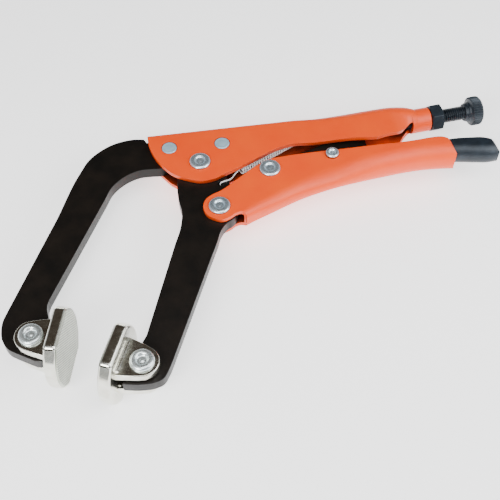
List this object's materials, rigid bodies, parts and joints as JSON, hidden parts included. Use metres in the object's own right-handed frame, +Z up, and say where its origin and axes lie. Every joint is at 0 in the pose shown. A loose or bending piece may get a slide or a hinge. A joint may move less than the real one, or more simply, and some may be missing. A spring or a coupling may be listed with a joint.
{
  "type": "locking pliers",
  "caption": "Locking C-clamp pliers with bowed bar jaws, serrated swivel pads, pressed channel handles, over-centre toggle, adjusting screw and release lever.",
  "frame": {"origin": "centre of the bounding box's bottom face, the tool lying on its side", "axes": "+X along the adjusting screw towards the knob, +Y towards the back of the upper handle, +Z up along the pivot pins"},
  "size_m": [0.3402, 0.1868, 0.045],
  "materials": {
    "orange_powder_coat": "satin powder coat over pressed steel",
    "black_oxide": "satin black oxide, dark brown on the cut edges",
    "bright_zinc": "bright blue-white zinc plate",
    "pad_zinc": "cream-white zinc plate",
    "dark_phosphate": "bluish black phosphate"
  },
  "bodies": {
    "frame": {"upper_handle": "orange_powder_coat", "fixed_jaw": "black_oxide", "front_jaw_rivet": "bright_zinc", "rear_jaw_rivet": "bright_zinc", "jaw_pivot_rivet": "bright_zinc", "fixed_pad_rivet": "pad_zinc", "fixed_pad_washer_near": "pad_zinc", "fixed_pad_washer_far": "pad_zinc", "tension_spring": "bright_zinc"},
    "jaw": {"moving_jaw": "black_oxide", "moving_pad_rivet": "pad_zinc", "moving_pad_washer_near": "pad_zinc", "moving_pad_washer_far": "pad_zinc"},
    "handle": {"lower_handle": "orange_powder_coat", "handle_pivot_rivet": "bright_zinc", "toggle_rivet": "bright_zinc", "release_lever_rivet": "bright_zinc"},
    "link": {"toggle_link": "black_oxide"},
    "lever": {"release_lever": "dark_phosphate"},
    "screw": {"adjusting_screw": "dark_phosphate"},
    "knob": {"screw_knob": "dark_phosphate"},
    "nut": {"lock_nut": "dark_phosphate"},
    "fixed_swivel": {"fixed_pad": "pad_zinc"},
    "moving_swivel": {"moving_pad": "pad_zinc"}
  },
  "joints": [
    {"name": "jaw_opening", "type": "hinge", "parent": "frame", "child": "jaw", "pos_m": [-0.03229, 0.06043, 0.0225], "axis": [0, 0, 1], "range_deg": [0, 18], "deforming": ["tension_spring"]},
    {"name": "handle_swing", "type": "hinge", "parent": "jaw", "child": "handle", "pos_m": [-0.02759, 0.02083, 0.0225], "axis": [0, 0, 1], "range_deg": [-58, 0]},
    {"name": "link_swing", "type": "hinge", "parent": "handle", "child": "link", "pos_m": [0.01141, 0.04393, 0.0225], "axis": [0, 0, 1], "range_deg": [0, 67]},
    {"name": "lever_squeeze", "type": "hinge", "parent": "handle", "child": "lever", "pos_m": [0.05491, 0.04643, 0.0225], "axis": [0, 0, 1], "range_deg": [0, 6]},
    {"name": "screw_travel", "type": "slide", "parent": "frame", "child": "screw", "axis": [1, 0, 0], "range_m": [0, 0.012]},
    {"name": "knob_turn", "type": "hinge", "parent": "screw", "child": "knob", "pos_m": [0.16671, 0.06883, 0.0225], "axis": [1, 0, 0], "range_deg": [0, 2900]},
    {"name": "nut_turn", "type": "hinge", "parent": "frame", "child": "nut", "pos_m": [0.13571, 0.06883, 0.0225], "axis": [1, 0, 0], "range_deg": [0, 360]},
    {"name": "fixed_pad_tilt", "type": "hinge", "parent": "frame", "child": "fixed_swivel", "pos_m": [-0.15229, -0.04917, 0.0225], "axis": [0, 0, 1], "range_deg": [-12, 12]},
    {"name": "moving_pad_tilt", "type": "hinge", "parent": "jaw", "child": "moving_swivel", "pos_m": [-0.09329, -0.07997, 0.0225], "axis": [0, 0, 1], "range_deg": [-12, 12]}
  ],
  "couplings": [
    {"joint": "handle_swing", "follows": "jaw_opening", "ratio": -3.2},
    {"joint": "link_swing", "follows": "jaw_opening", "ratio": 3.7},
    {"joint": "knob_turn", "follows": "screw_travel", "rad_per_m": 4188.8}
  ]
}
